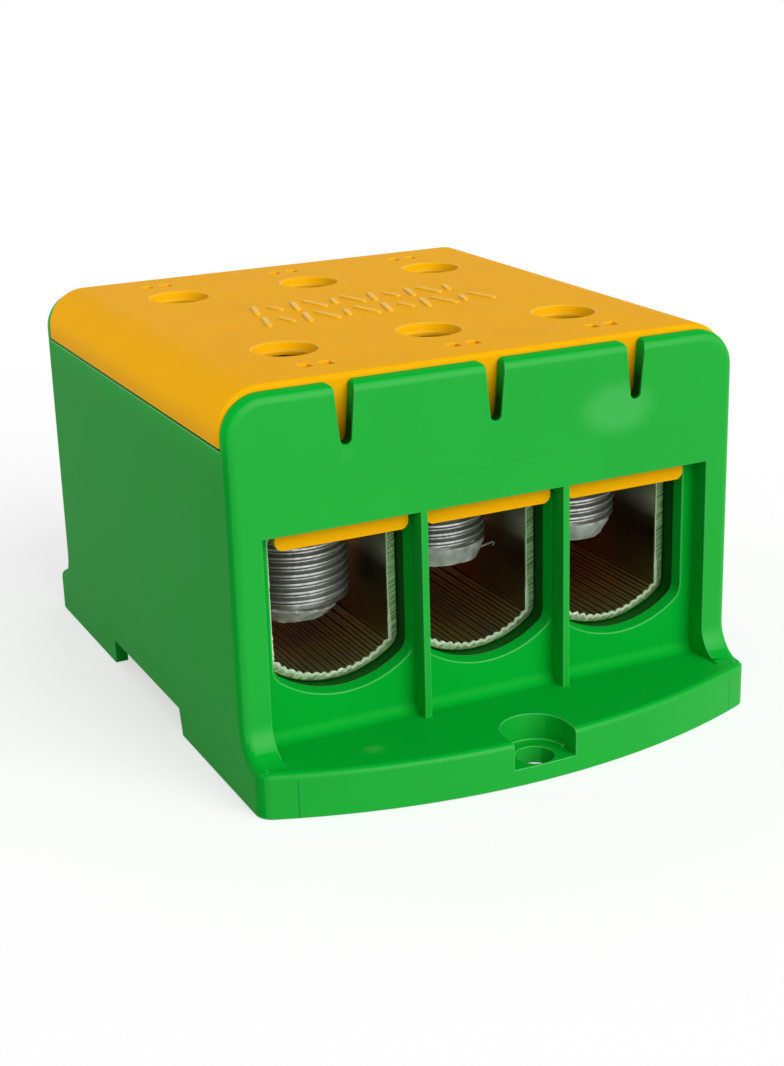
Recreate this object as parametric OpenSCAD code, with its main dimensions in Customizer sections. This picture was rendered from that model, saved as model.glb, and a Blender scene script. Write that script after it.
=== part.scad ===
// Three-pole feed-through terminal block for large conductors.
// Front is -Y, the block stands on Z = 0, and X runs across the poles. All sizes are in millimetres.

/* [Block] */
// Width over the side walls
block_w = 91; // [84:0.5:104]
// Depth over the front and back walls
block_d = 95.6; // [94:0.2:120]
// Height of the lid's top
block_h = 66.4; // [62:0.2:80]
// Width beyond the three poles at each side
pole_margin = 6.5; // [6.2:0.1:7]

/* [Housing walls] */
// Thickness of the front and back walls
end_wall = 2.5; // [2.2:0.1:3.5]
// Thickness of the side walls
side_wall = 2.5; // [2:0.1:3]
// How far the side walls stop below the lid's top
side_drop = 9.4; // [8.2:0.1:10]
// Rounding of the outer edges of the front and back walls
edge_r = 1.8; // [0.6:0.1:2.1]
// Corner radius at the top of the front and back walls
end_corner_r = 6.5; // [3:0.1:7.5]
// How far the front and back walls stop below the lid's top
end_drop = 0.9; // [0.4:0.1:1.5]
// Thickness of the floor under a tube
floor_t = 2.2; // [1.6:0.1:3]
// Thickness of the ribs under the floor
under_rib = 2; // [1.5:0.1:3]
// Thickness of the walls below the sills
foot_wall = 2.5; // [2:0.1:3]
// Thickness of the walls between the outer tubes and the side spaces
bay_wall = 1.6; // [1.2:0.1:2]
// Thickness left at the ends of the side spaces
bay_end = 2; // [1.5:0.1:4]

/* [Conductor openings] */
// Height of the upper edge of the openings
opening_top = 43; // [42:0.1:46]
// Thickness of the ribs between the openings
rib_t = 1.25; // [1:0.05:1.6]
// Width of the columns beside the outer openings
column_w = 5.1; // [4.6:0.1:5.6]
// Depth of the sills behind the face of the wall
sill_set = 3.8; // [3:0.1:4.5]
// Thickness of the sills
sill_t = 2; // [1.5:0.1:2.5]
// Radius between a sill and the flange
sill_fillet_r = 2; // [0.5:0.1:3]
// How far the back of a cut-out covers the tube on each side
cut_cover = 0.15; // [0.05:0.05:0.4]
// Radius of the round bottom of the cut-out
cut_r = 17.4; // [14:0.1:22]
// Height of the lowest point of the cut-out
cut_z = 14.4; // [14:0.1:16]
// Radius of the cut-out's lower corners
cut_corner_r = 3.2; // [2:0.1:4]
// How much a cut-out opens towards the front on each side
cut_bevel = 0.65; // [0.2:0.05:0.7]

/* [Slots in the end walls] */
// Width of a slot at the top
slot_top_w = 3.3; // [2.4:0.1:4]
// Width of a slot at the bottom
slot_low_w = 2; // [1:0.1:2.4]
// Depth of a slot below the top of the wall
slot_h = 9.6; // [6:0.1:12]
// Radius of the rounded shoulders at a slot's mouth
slot_mouth_r = 1; // [0.4:0.1:1.4]

/* [Mounting flanges] */
// Height of the flanges
flange_h = 7.7; // [6.5:0.1:8.5]
// How far the middle of a flange stands out from the wall
flange_reach = 15.4; // [14:0.1:20]
// Radius of the round front
flange_r = 115; // [100:1:180]
// Radius of the upright corners
flange_corner_r = 3.1; // [2.2:0.1:4]
// Rounding of the upper edge
flange_edge_r = 1.1; // [0.6:0.1:2]
// Radius of the flare between a column and the flange
flare_r = 5.6; // [3:0.1:6]
// Distance between the two fixing holes
fixing_spacing = 119.2; // [118:0.2:122]
// Diameter of the fixing holes
fixing_d = 6.3; // [4.5:0.1:6.6]
// Diameter of the recess for a screw head
recess_d = 11.2; // [10:0.1:13]
// Thickness left under the recess
recess_floor = 3; // [2:0.1:4]
// Width of the ledge at the foot of the recess
ledge_w = 0.6; // [0.3:0.1:1]
// Height of the ledge
ledge_h = 0.5; // [0.3:0.1:1]
// Thickness of a flange above its underside hollows
flange_plate = 3; // [2:0.1:4]
// Thickness of the walls round those hollows
flange_wall = 2.5; // [2:0.1:3.5]

/* [Rail mounting] */
// Width of the rail notch
notch_w = 37; // [36.4:0.1:38]
// Height of the rail notch
notch_h = 4.6; // [4.4:0.1:5]
// How far the front of the notch leans in at its top
notch_lean = 1.2; // [0:0.1:1.3]
// Thickness of the walls beside the notch
notch_wall = 2.5; // [2:0.1:3.5]
// Width of the gap between the back wall of the notch and each side wall
notch_gap_w = 7; // [5:0.5:9]
// Height of that gap
notch_gap_h = 3.2; // [2.8:0.1:3.6]
// Thickness of the rail's edge that the hooks hold
rail_edge_t = 1; // [0.8:0.1:1.1]
// How far the hooks and the latch reach into the notch
hook_reach = 2.4; // [1.6:0.1:2.8]
// Width of one fixed hook
hook_w = 9; // [6:0.5:11]
// Distance of the fixed hooks from the middle of the block
hook_x = 22; // [18:0.5:24]
// Height of the lead-in below a hook and below the latch's nose
hook_low = 0.6; // [0.3:0.1:0.8]
// Free space on each side of the latch's tail
tail_side = 1.7; // [1.5:0.1:3]
// Height of the latch's underside
latch_low = 0.9; // [0.8:0.1:1.2]
// How far the latch lies below the top of the notch
latch_drop = 0.4; // [0.2:0.1:0.6]
// Travel of the latch
latch_travel = 3; // [2.4:0.1:3.6]
// Length of the latch's broad tail
tail_l = 3.4; // [2.5:0.1:5]
// Thickness of the guides beside the latch
guide_t = 2; // [1.5:0.1:3]
// Width of the keepers under the latch
keeper_w = 1; // [0.6:0.1:2]
// Length of the keepers
keeper_l = 4; // [2:0.5:6]
// Length of the screwdriver slot in the latch
pry_l = 2.4; // [1.6:0.1:3]
// Width of the screwdriver slot
pry_w = 8; // [5:0.5:10]
// Thickness of the latch over the screwdriver slot
pry_roof = 1; // [0.8:0.1:1.4]
// Thickness of the latch spring
spring_t = 0.5; // [0.3:0.05:0.8]
// Width of the latch spring
spring_w = 18; // [14:0.5:20]
// Bow that stays in the spring when the latch is drawn back
spring_bow = 1.4; // [1:0.1:2]

/* [Clamp tubes] */
// Distance between neighbouring tubes
tube_apart = 2; // [2:0.1:3]
// Length of a tube
tube_l = 78; // [70:0.5:79]
// How far a tube's top lies below the lid's top
tube_drop = 10.4; // [10:0.1:12.4]
// Height of the roof of the conductor space
tube_roof = 41; // [40.4:0.1:43]
// Thickness of a tube's sides
tube_wall = 1.7; // [1.3:0.1:2]
// Thickness of a tube's floor
tube_floor = 1.1; // [0.9:0.1:1.4]
// Outer radius of the round floor
tube_floor_r = 18; // [15:0.1:22]
// Radius of a tube's lower outer corners
tube_corner_r = 3; // [1:0.1:3.4]
// Inner radius of the round floor
bed_r = 15.5; // [13:0.1:20]
// Corner radius of a tube's top
top_r = 1.5; // [0.5:0.1:2.5]
// Corner radius of the conductor space's roof
roof_r = 2; // [1:0.1:3]
// Number of ridges along the floor
ridge_count = 15; // [8:1:18]
// Height of the ridges
ridge_h = 0.4; // [0.2:0.05:0.5]

/* [Clamp screws] */
// Diameter of a screw
screw_d = 17.8; // [14:0.1:18.2]
// How far a raised screw's top lies below the lid's top
screw_drop = 7.4; // [6.6:0.1:10]
// Distance of a screw from the end of its tube
screw_end = 14; // [12:0.5:16]
// Height of a raised screw's tip
tip_raised = 27.5; // [26:0.1:30.5]
// Height of the lowered screw's tip
tip_lowered = 22; // [20:0.1:28]
// Size of the hexagon socket across flats
socket_af = 10; // [6:0.5:10]
// Depth of the socket
socket_h = 9; // [6:0.5:12]
// Diameter of a screw's flat tip
tip_d = 10; // [8:0.2:12]
// Height of the cone above the tip
tip_h = 3; // [2:0.1:4]
// Chamfer at a screw's upper end
screw_chamfer = 0.9; // [0.3:0.1:1.2]

/* [Lid] */
// Thickness of the lid's top and sides
lid_t = 2.2; // [1.6:0.1:2.4]
// Radius of the lid's upper corners
lid_corner_r = 7; // [4:0.1:8]
// Rounding of the lid's front and back edges
lid_edge_r = 0.9; // [0.3:0.1:1.2]
// Diameter of a tool hole at the top
funnel_d = 11; // [10:0.1:12.5]
// Diameter of a tool hole below its funnel
tool_d = 9.2; // [8.6:0.1:9.8]
// Depth of the funnel
funnel_h = 1.4; // [0.6:0.1:1.5]
// Thickness of the skirts behind the front and back walls
skirt_t = 2; // [1.4:0.1:2.1]
// How far a tongue stays inside the cut-out on each side
tongue_set = 0.4; // [0.3:0.1:1.8]
// Height of a tongue's lower edge
tongue_z = 39.8; // [39:0.1:41]
// Radius of a tongue's lower corners
tongue_r = 1.5; // [0.4:0.1:2]
// Height of the shadow line under the lid's sides
seam_h = 0.35; // [0.2:0.05:0.5]
// Depth of the shadow line
seam_t = 1; // [0.5:0.1:1.2]
// Depth of the lips inside the side walls
lip_h = 4; // [2:0.1:6]
// Thickness of the lips
lip_t = 1.5; // [1:0.1:1.6]
// Distance of the small pockets from the middle of the block
mark_y = 37.4; // [36.5:0.1:39]
// Spacing of the two pockets of a pair
mark_pitch = 3.7; // [3:0.1:5]
// Width of a pocket
mark_w = 1.9; // [1:0.1:2.4]
// Length of a pocket
mark_l = 2.4; // [1.4:0.1:3]
// Depth of a pocket
mark_h = 0.8; // [0.4:0.1:1.2]

/* [Clearances] */
// Gap round a tube in its pocket
tube_gap = 0.15; // [0.1:0.05:0.3]
// Gap between a screw and its threaded hole
thread_gap = 0.06; // [0.02:0.01:0.1]
// Gap between the lid and the housing
lid_gap = 0.15; // [0.1:0.05:0.3]
// Gap round the latch
latch_gap = 0.3; // [0.2:0.05:0.4]
// Gap between the latch and its spring
spring_gap = 0.1; // [0.05:0.05:0.3]
// Gap between the rail's edge and the hooks
rail_gap = 0.2; // [0.1:0.05:0.3]

/* [Hidden] */
$fn = 64;
// Straight pieces of a quarter-turn edge rounding
quarter_steps = 6;
// Facets of the full circle that a flange's hollows are part of
flange_steps = 360;
// Straight pieces of a large arc
arc_steps = 24;
// Points that draw one ridge of a tube's floor
ridge_points = 4;
// How far a cut runs past the face that it opens
past = 1;
// Depth of a joint between two solids of one piece
weld = 0.4;
// How far a face stays inside another where the two would fall together
inside = 0.02;

side_x = block_w / 2;
end_y = block_d / 2;
end_top = block_h - end_drop;
end_inner = end_y - end_wall;
side_inner = side_x - side_wall;
pole_pitch = (block_w - 2 * pole_margin) / 3;
poles = [-pole_pitch, 0, pole_pitch];
ends = [0, 1];
side_h = block_h - side_drop;

// Tube, screws and pocket of one pole
tube_w = pole_pitch - tube_apart;
tube_top = block_h - tube_drop;
screw_l = block_h - screw_drop - tip_raised;
screw_y = tube_l / 2 - screw_end;
cut_w = tube_w - 2 * cut_cover;
tongue_w = cut_w - 2 * tongue_set;
pocket_half = tube_w / 2 + tube_gap;
pocket_r = tube_floor_r + tube_gap;
pocket_corner_r = tube_corner_r + tube_gap;
tube_low = cut_z - weld;
pocket_low = tube_low - tube_gap;
sill_y = end_y - sill_set;
pocket_y = sill_y - sill_t;

// Spaces under the housing
under_h = pocket_low - floor_t;
under_y = sill_y - foot_wall;

// Side spaces above the floor, which take the lid's lips
bay_in = pole_pitch + pocket_half + bay_wall;
bay_y = pocket_y - bay_end;

// Flange
flange_y = end_y + flange_reach;
flange_cy = flange_r - flange_y;
corner_x = side_x - flange_corner_r;
corner_y = flange_cy - sqrt(pow(flange_r - flange_corner_r, 2) - corner_x * corner_x);
sector_a = asin(corner_x / (flange_r - flange_corner_r));
fixing_y = fixing_spacing / 2;
column_x = side_x - column_w;
flare_y = -end_y - flare_r;
flare_top = flange_h + flare_r;
flare_depth = (flare_r + edge_r) * sqrt(2) - flare_r + weld;

// Rail notch, hooks and latch
notch_y = notch_w / 2;
hook_top = notch_h - rail_edge_t - rail_gap;
latch_top = notch_h - latch_drop;
spring_rise = spring_bow + latch_travel;
spring_y = under_y - spring_t - spring_rise;
tail_y = spring_y - spring_gap;
tail_w = pole_pitch - under_rib - 2 * tail_side;
latch_w = tail_w - 2 * guide_t - 2 * latch_gap;
guide_in = latch_w / 2 + latch_gap;
guide_end = tail_y - tail_l - latch_gap;
keeper_h = latch_low - latch_gap;
spring_r = (spring_w * spring_w / 4 + spring_rise * spring_rise) / (2 * spring_rise);
spring_a = asin(spring_w / 2 / spring_r);

// Lid
lid_y = end_inner - lid_gap;
lip_x = side_inner - lid_gap;

// Points of an arc about a centre
function arc(cx, cy, r, from, to, steps) =
    [for (i = [0 : steps]) let (a = from + (to - from) * i / steps) [cx + r * cos(a), cy + r * sin(a)]];

// Rectangle from the origin with its far corner rounded
function eased(w, h, r) = concat([[0, 0], [w, 0]], arc(w - r, h - r, r, 0, 90, quarter_steps), [[0, h]]);

// Rectangle that is rounded at both corners of its far side
function eased_pair(half, h, r) =
    concat([[half, 0]], arc(half - r, h - r, r, 0, 90, quarter_steps),
           arc(r - half, h - r, r, 90, 180, quarter_steps), [[-half, 0]]);

// Round bottom of an upright shape, with its two corners rounded by c
function round_bottom(half, low, r, c) =
    let (a = asin((half - c) / (r - c)), z = low + r - (r - c) * cos(a), step = (90 - a) / quarter_steps)
    concat(arc(c - half, z, c, 180, 270 - a - step, quarter_steps - 1),
           arc(0, low + r, r, 270 - a, 270 + a, arc_steps),
           arc(half - c, z, c, 270 + a + step, 360, quarter_steps - 1));

// Upright shape with a round bottom, open to the given height
function trough(half, low, r, c, top) = concat(round_bottom(half, low, r, c), [[half, top], [-half, top]]);

// Extrusion along Y of a shape drawn in X and Z
module along_y(from, to) {
    translate([0, to, 0])
    rotate([90, 0, 0])
    linear_extrude(to - from)
    children();
}

// Extrusion along X of a shape drawn in Y and Z
module along_x(from, to) {
    translate([from, 0, 0])
    rotate([90, 0, 90])
    linear_extrude(to - from)
    children();
}

// Box between two corners
module block(low, high) {
    translate(low)
    cube(high - low);
}

// The same thing at the front and at the back
module both_ends() {
    for (i = ends)
        mirror([0, i, 0])
        children();
}

// Plate of the front wall, with its outer edges rounded all round
module end_plate() {
    flat_h = end_top - end_corner_r;
    flat_x = side_x - end_corner_r;
    translate([0, -end_inner, 0])
    mirror([0, 1, 0])
    linear_extrude(flat_h)
    polygon(eased_pair(side_x, end_wall, edge_r));
    translate([0, -end_inner, flat_h])
    rotate([90, 0, 90])
    linear_extrude(2 * flat_x, center = true)
    mirror([1, 0])
    polygon([for (p = eased(end_corner_r, end_wall, edge_r)) [p[1], p[0]]]);
    for (side = [0, 1])
        mirror([side, 0, 0])
        translate([flat_x, -end_inner, flat_h])
        rotate([90, 0, 0])
        rotate_extrude(angle = 90)
        polygon(eased(end_corner_r, end_wall, edge_r));
}

// Tapered slot with a round bottom and eased shoulders, drawn from its lowest point
module slot_shape() {
    low_r = slot_low_w / 2;
    top = slot_h;
    mouth = slot_top_w / 2 + slot_mouth_r;
    polygon(concat(
        arc(0, low_r, low_r, 180, 360, 2 * quarter_steps),
        arc(mouth, top - slot_mouth_r, slot_mouth_r, 180, 90, quarter_steps),
        [[mouth, top + past], [-mouth, top + past]],
        arc(-mouth, top - slot_mouth_r, slot_mouth_r, 90, 0, quarter_steps)));
}

// Outline of the front flange seen from above, drawn inwards by an inset
function flange_outline(inset) =
    concat([[side_x - inset, -pocket_y], [inset - side_x, -pocket_y]],
           arc(-corner_x, corner_y, flange_corner_r - inset, 180, 270 - sector_a, quarter_steps),
           arc(0, flange_cy, flange_r - inset, 270 - sector_a, 270 + sector_a, arc_steps),
           arc(corner_x, corner_y, flange_corner_r - inset, 270 + sector_a, 360, quarter_steps));

// Front flange with its round face, upright corners and rounded upper edge
module flange() {
    hull()
    for (i = [0 : quarter_steps]) {
        a = 90 * i / quarter_steps;
        linear_extrude(flange_h - flange_edge_r * (1 - sin(a)))
        polygon(flange_outline(flange_edge_r * (1 - cos(a))));
    }
    for (side = [0, 1])
        mirror([side, 0, 0])
        flare();
}

// Flare from the foot of a column out to the corner of the flange, its outer edge rounded like the wall's
module flare() {
    intersection() {
        translate([0, flare_y, flare_top])
        rotate([0, 90, 0])
        rotate_extrude(angle = 90)
        polygon(concat([[flare_r, column_x]],
            arc(flare_r + edge_r, side_x - edge_r, edge_r, 180, 90, quarter_steps),
            [[flare_r + flare_depth, side_x], [flare_r + flare_depth, column_x]]));
        linear_extrude(flare_top + past)
        polygon(concat([[column_x - past, past - end_inner], [column_x - past, -flange_y]],
            arc(corner_x, corner_y, flange_corner_r - inside, sector_a - 90, 0, quarter_steps),
            [[side_x, corner_y], [side_x, past - end_inner]]));
    }
}

// Space in front of one sill
module front_recess(low_x, high_x) {
    along_x(low_x, high_x)
    polygon(concat([[-end_y - flange_reach, flange_h]],
        arc(-sill_y - sill_fillet_r, flange_h + sill_fillet_r, sill_fillet_r, 270, 360, quarter_steps),
        [[-sill_y, opening_top], [-end_y - flange_reach, opening_top]]));
}

// Cut-out of one sill, its round bottom and its sides wider towards the front
module sill_cut() {
    more = cut_bevel * past / sill_t;
    back_r = cut_r - more;
    front_r = cut_r + cut_bevel + more;
    translate([0, past - pocket_y, cut_z + cut_r])
    rotate([90, 0, 0])
    linear_extrude(sill_t + 2 * past, scale = front_r / back_r)
    scale(back_r / cut_r)
    polygon(trough(cut_w / 2, -cut_r, cut_r, cut_corner_r, opening_top + past - cut_z - cut_r));
}

// Head recess, fixing hole and underside hollows of the front flange
module flange_cuts() {
    translate([0, -fixing_y, recess_floor + ledge_h])
    cylinder(d = recess_d, h = flange_h);
    translate([0, -fixing_y, recess_floor])
    cylinder(d = recess_d - 2 * ledge_w, h = flange_h);
    block([-recess_d / 2, -flange_y - past, recess_floor], [recess_d / 2, -fixing_y, flange_h + past]);
    translate([0, -fixing_y, -past])
    cylinder(d = fixing_d, h = recess_floor + 2 * past);
    for (side = [0, 1])
        mirror([side, 0, 0])
        translate([0, 0, -past])
        linear_extrude(flange_h - flange_plate + past)
        intersection() {
            translate([0, flange_cy])
            circle(r = flange_r - flange_wall, $fn = flange_steps);
            translate([recess_d / 2 + flange_wall, -flange_y])
            square([column_x - recess_d / 2 - flange_wall, flange_y - end_inner - weld]);
        }
}

// Hollows under the pockets, between ribs that run front to back
module under_spaces() {
    x_edges = [[-side_inner, -pole_pitch / 2 - under_rib / 2],
               [-pole_pitch / 2 + under_rib / 2, pole_pitch / 2 - under_rib / 2],
               [pole_pitch / 2 + under_rib / 2, side_inner]];
    y_edges = [[-under_y, -notch_y - notch_wall],
               [-notch_y, notch_y],
               [notch_y + notch_wall, under_y]];
    for (x = x_edges)
        for (y = y_edges)
            block([x[0], y[0], -past], [x[1], y[1], under_h]);
}

// Rail notch across the whole width, its front wall leaning
module rail_notch() {
    along_x(-side_x - past, side_x + past)
    polygon([[-notch_y - notch_lean * past / notch_h, -past], [-notch_y + notch_lean, notch_h],
             [notch_y, notch_h], [notch_y, -past]]);
}

// Fixed hooks at the front of the notch, with a lead-in below
module rail_hooks() {
    for (x = [-hook_x, hook_x])
        along_x(x - hook_w / 2, x + hook_w / 2)
        polygon([[-notch_y - weld, 0], [-notch_y + hook_reach / 2, 0], [-notch_y + hook_reach, hook_low],
                 [-notch_y + hook_reach, hook_top], [-notch_y + notch_lean, hook_top],
                 [-notch_y + notch_lean, notch_h + weld], [-notch_y - weld, notch_h + weld]]);
}

// Guides beside the latch, keepers below it and cross ribs above it
module latch_guides() {
    for (side = [0, 1])
        mirror([side, 0, 0]) {
            block([guide_in, notch_y, 0], [guide_in + guide_t, guide_end, under_h + weld]);
            for (y = [notch_y, guide_end - keeper_l])
                block([guide_in - keeper_w, y, 0], [guide_in + weld, y + keeper_l, keeper_h]);
        }
    for (y = [notch_y, guide_end - guide_t])
        block([-guide_in - weld, y, latch_top + latch_gap], [guide_in + weld, y + guide_t, under_h + weld]);
}

module housing() {
    color([0.16, 0.68, 0.25])
    union() {
        difference() {
            union() {
                block([-side_x, -end_inner - weld, 0], [side_x, end_inner + weld, side_h]);
                both_ends() {
                    end_plate();
                    flange();
                }
            }
            for (x = poles)
                translate([x, 0, 0]) {
                    along_y(-pocket_y, pocket_y)
                    polygon(trough(pocket_half, pocket_low, pocket_r, pocket_corner_r, side_h + past));
                    both_ends() {
                        sill_cut();
                        along_y(-end_y - past, -end_inner + past)
                        translate([0, end_top - slot_h])
                        slot_shape();
                    }
                }
            both_ends() {
                for (x = poles)
                    front_recess(x == poles[0] ? -column_x : x - pole_pitch / 2 + rib_t / 2,
                                 x == poles[2] ? column_x : x + pole_pitch / 2 - rib_t / 2);
                block([-side_inner, -end_inner, opening_top], [side_inner, -pocket_y, side_h + past]);
                flange_cuts();
            }
            for (side = [0, 1])
                mirror([side, 0, 0])
                block([bay_in, -bay_y, pocket_low], [side_inner, bay_y, side_h + past]);
            under_spaces();
            rail_notch();
            for (side = [0, 1])
                mirror([side, 0, 0])
                block([side_inner - notch_gap_w, notch_y - past, -past],
                      [side_inner, notch_y + notch_wall + past, notch_gap_h]);
            block([-guide_in, notch_y - past, -past], [guide_in, guide_end, latch_top + latch_gap]);
        }
        rail_hooks();
        latch_guides();
    }
}

// Solid outer form of the lid, with rounded upper corners and rounded ends
module lid_form() {
    flat_x = side_x - lid_corner_r;
    flat_z = block_h - lid_corner_r;
    half = lid_y;
    translate([0, 0, flat_z])
    rotate([90, 0, 90])
    linear_extrude(2 * flat_x, center = true)
    polygon(eased_pair(half, lid_corner_r, lid_edge_r));
    for (side = [0, 1])
        mirror([side, 0, 0]) {
            translate([flat_x, 0, flat_z])
            rotate([90, 0, 0])
            rotate_extrude(angle = 90)
            rotate(-90)
            polygon(eased_pair(half, lid_corner_r, lid_edge_r));
            translate([flat_x, 0, side_h])
            linear_extrude(flat_z - side_h)
            rotate(-90)
            polygon(eased_pair(half, lid_corner_r, lid_edge_r));
        }
    block([-flat_x, -half, side_h], [flat_x, half, flat_z]);
}

// Front skirt with a tongue over each opening
module lid_skirt() {
    skirt_low = opening_top + lid_gap;
    block([-lip_x, -lid_y, skirt_low], [lip_x, skirt_t - lid_y, block_h - lid_t]);
    for (x = poles)
        translate([x, 0, 0])
        along_y(-lid_y, skirt_t - lid_y)
        translate([0, skirt_low + weld])
        mirror([0, 1])
        polygon(eased_pair(tongue_w / 2, skirt_low + weld - tongue_z, tongue_r));
}

// Lip inside one side wall, hung from the lid's side
module lid_lip(side) {
    along_y(lid_gap - bay_y, bay_y - lid_gap)
    polygon([[lip_x - lip_t, side_h - lip_h], [lip_x, side_h - lip_h], [lip_x, side_h],
             [side + weld, side_h], [side + weld, side_h + lip_h],
             [lip_x - lip_t, side_h + lip_h]]);
}

// Bore of one tool hole, with its funnel
module tool_hole() {
    cylinder(d = tool_d, h = 2 * block_h, center = true);
    translate([0, 0, block_h - funnel_h])
    cylinder(d1 = tool_d, d2 = funnel_d, h = funnel_h);
}

module lid() {
    inner_x = side_x - lid_t;
    inner_z = block_h - lid_t;
    inner_r = lid_corner_r - lid_t;
    color([0.91, 0.67, 0.16])
    difference() {
        union() {
            difference() {
                lid_form();
                along_y(skirt_t - lid_y, lid_y - skirt_t)
                polygon(concat([[inner_x, side_h - past]],
                    arc(inner_x - inner_r, inner_z - inner_r, inner_r, 0, 90, quarter_steps),
                    arc(inner_r - inner_x, inner_z - inner_r, inner_r, 90, 180, quarter_steps),
                    [[-inner_x, side_h - past]]));
            }
            both_ends()
            lid_skirt();
            for (side = [0, 1])
                mirror([side, 0, 0])
                lid_lip(inner_x);
        }
        for (x = poles)
            for (y = [-screw_y, screw_y])
                translate([x, y, 0])
                tool_hole();
        for (x = poles)
            for (y = [-mark_y, mark_y])
                for (dx = [-mark_pitch / 2, mark_pitch / 2])
                    translate([x + dx, y, block_h])
                    cube([mark_w, mark_l, 2 * mark_h], center = true);
        for (side = [0, 1])
            mirror([side, 0, 0])
            block([side_x - seam_t, -lid_y - past, side_h - past],
                  [side_x + past, lid_y + past, side_h + seam_h]);
    }
}

// Section of a clamp tube's conductor space, its round floor ridged
module tube_space() {
    half = tube_w / 2 - tube_wall;
    low = tube_low + tube_floor;
    a = asin(half / bed_r);
    steps = ridge_count * ridge_points;
    polygon(concat(
        [for (i = [0 : steps])
            let (t = 270 - a + 2 * a * i / steps,
                 r = bed_r - ridge_h * (1 - cos(360 * i / ridge_points)) / 2)
            [r * cos(t), low + bed_r + r * sin(t)]],
        arc(half - roof_r, tube_roof - roof_r, roof_r, 0, 90, quarter_steps),
        arc(roof_r - half, tube_roof - roof_r, roof_r, 90, 180, quarter_steps)));
}

module clamp_tube(x) {
    half = tube_w / 2;
    color([0.78, 0.79, 0.80])
    translate([x, 0, 0])
    difference() {
        along_y(-tube_l / 2, tube_l / 2)
        difference() {
            polygon(concat(
                round_bottom(half, tube_low, tube_floor_r, tube_corner_r),
                arc(half - top_r, tube_top - top_r, top_r, 0, 90, quarter_steps),
                arc(top_r - half, tube_top - top_r, top_r, 90, 180, quarter_steps)));
            tube_space();
        }
        for (y = [-screw_y, screw_y])
            translate([0, y, tube_roof - past])
            cylinder(d = screw_d + 2 * thread_gap, h = tube_top - tube_roof + 2 * past);
    }
}

// Set screw with a cone tip, a chamfered upper end and a hexagon socket
module clamp_screw(x, y, tip) {
    r = screw_d / 2;
    c = screw_chamfer;
    color([0.62, 0.63, 0.63])
    translate([x, y, tip])
    difference() {
        rotate_extrude()
        polygon([[0, 0], [tip_d / 2, 0], [r, tip_h], [r, screw_l - c], [r - c, screw_l], [0, screw_l]]);
        translate([0, 0, screw_l - socket_h])
        cylinder(d = socket_af / cos(30), h = socket_h + past, $fn = 6);
    }
}

// Sliding foot with a bevelled nose, a broad tail and a slot for a screwdriver
module rail_latch() {
    nose_y = notch_y - hook_reach;
    color([0.13, 0.45, 0.20])
    difference() {
        union() {
            along_x(-latch_w / 2, latch_w / 2)
            polygon([[nose_y, hook_top], [nose_y, latch_low + hook_low], [nose_y + hook_low, latch_low],
                     [tail_y, latch_low], [tail_y, latch_top], [notch_y + latch_gap, latch_top],
                     [notch_y + latch_gap, hook_top]]);
            block([-tail_w / 2, tail_y - tail_l, latch_low], [tail_w / 2, tail_y, latch_top]);
        }
        block([-pry_w / 2, tail_y - tail_l - pry_l, latch_low - past],
              [pry_w / 2, tail_y - tail_l, latch_top - pry_roof]);
    }
}

// Bowed spring strip between the latch and the wall behind it
module latch_spring() {
    cy = spring_y + spring_r;
    color([0.55, 0.56, 0.58])
    translate([0, 0, latch_low])
    linear_extrude(latch_top - latch_low)
    polygon(concat(arc(0, cy, spring_r, 270 - spring_a, 270 + spring_a, arc_steps),
                   arc(0, cy + spring_t, spring_r, 270 + spring_a, 270 - spring_a, arc_steps)));
}

housing();
lid();
clamp_tube(poles[0]);  // clamp_tube_left
clamp_tube(poles[1]);  // clamp_tube_middle
clamp_tube(poles[2]);  // clamp_tube_right
clamp_screw(poles[0], -screw_y, tip_lowered);  // front_screw_left
clamp_screw(poles[1], -screw_y, tip_raised);  // front_screw_middle
clamp_screw(poles[2], -screw_y, tip_raised);  // front_screw_right
clamp_screw(poles[0], screw_y, tip_raised);  // back_screw_left
clamp_screw(poles[1], screw_y, tip_raised);  // back_screw_middle
clamp_screw(poles[2], screw_y, tip_raised);  // back_screw_right
rail_latch();
latch_spring();
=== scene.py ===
"""Looks of a three-pole feed-through terminal block, laid out as an add-on and run as a script."""

import math

import bmesh
import bpy
from mathutils import Matrix, Quaternion, Vector, noise


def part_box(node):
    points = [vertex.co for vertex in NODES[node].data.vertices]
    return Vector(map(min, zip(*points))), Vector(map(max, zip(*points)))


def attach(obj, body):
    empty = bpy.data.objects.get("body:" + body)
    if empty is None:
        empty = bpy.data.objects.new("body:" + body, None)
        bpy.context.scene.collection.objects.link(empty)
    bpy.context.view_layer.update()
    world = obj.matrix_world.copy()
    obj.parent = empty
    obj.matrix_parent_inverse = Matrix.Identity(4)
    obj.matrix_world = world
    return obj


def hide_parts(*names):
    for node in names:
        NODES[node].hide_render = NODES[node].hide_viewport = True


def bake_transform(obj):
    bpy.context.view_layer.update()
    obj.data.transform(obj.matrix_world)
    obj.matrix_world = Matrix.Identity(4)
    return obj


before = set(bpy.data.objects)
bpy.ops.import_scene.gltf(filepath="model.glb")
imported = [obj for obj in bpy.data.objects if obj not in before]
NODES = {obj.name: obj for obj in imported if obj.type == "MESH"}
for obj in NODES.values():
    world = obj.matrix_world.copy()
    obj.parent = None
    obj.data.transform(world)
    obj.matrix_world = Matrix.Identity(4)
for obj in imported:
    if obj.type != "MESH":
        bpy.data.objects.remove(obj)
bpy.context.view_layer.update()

bl_info = {
    "name": "Terminal block",
    "version": (1, 0, 0),
    "blender": (4, 5, 0),
    "location": "3D View > Sidebar > Terminal block",
    "description": "Dresses a three-pole feed-through terminal block",
    "category": "Object",
}

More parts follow.
